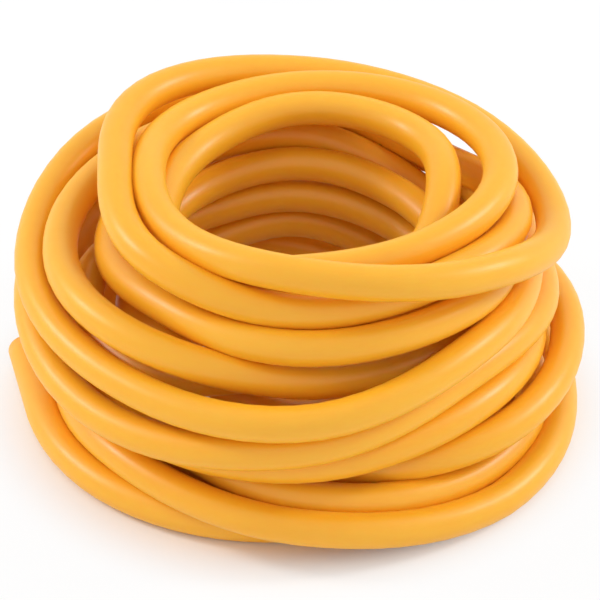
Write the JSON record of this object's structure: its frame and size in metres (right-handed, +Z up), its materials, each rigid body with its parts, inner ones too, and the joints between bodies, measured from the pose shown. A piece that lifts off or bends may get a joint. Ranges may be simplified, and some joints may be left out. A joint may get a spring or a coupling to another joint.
{
  "type": "rubber tubing coil",
  "caption": "Coil of soft natural rubber laboratory tubing with two open cut ends, for joining glassware, burners and pumps that have barbed or plain spigots.",
  "frame": {"origin": "middle of the part's box, on the bench that the coil lies on", "axes": "+Z up along the coil's axis, -Y towards the viewer of the picture, -X to the side with the near end"},
  "size_m": [0.1535, 0.1508, 0.076],
  "materials": {
    "rubber": "satin, slightly translucent amber natural rubber"
  },
  "bodies": {
    "root": {"turns": "rubber", "near_end": "rubber", "far_end": "rubber"}
  },
  "joints": []
}
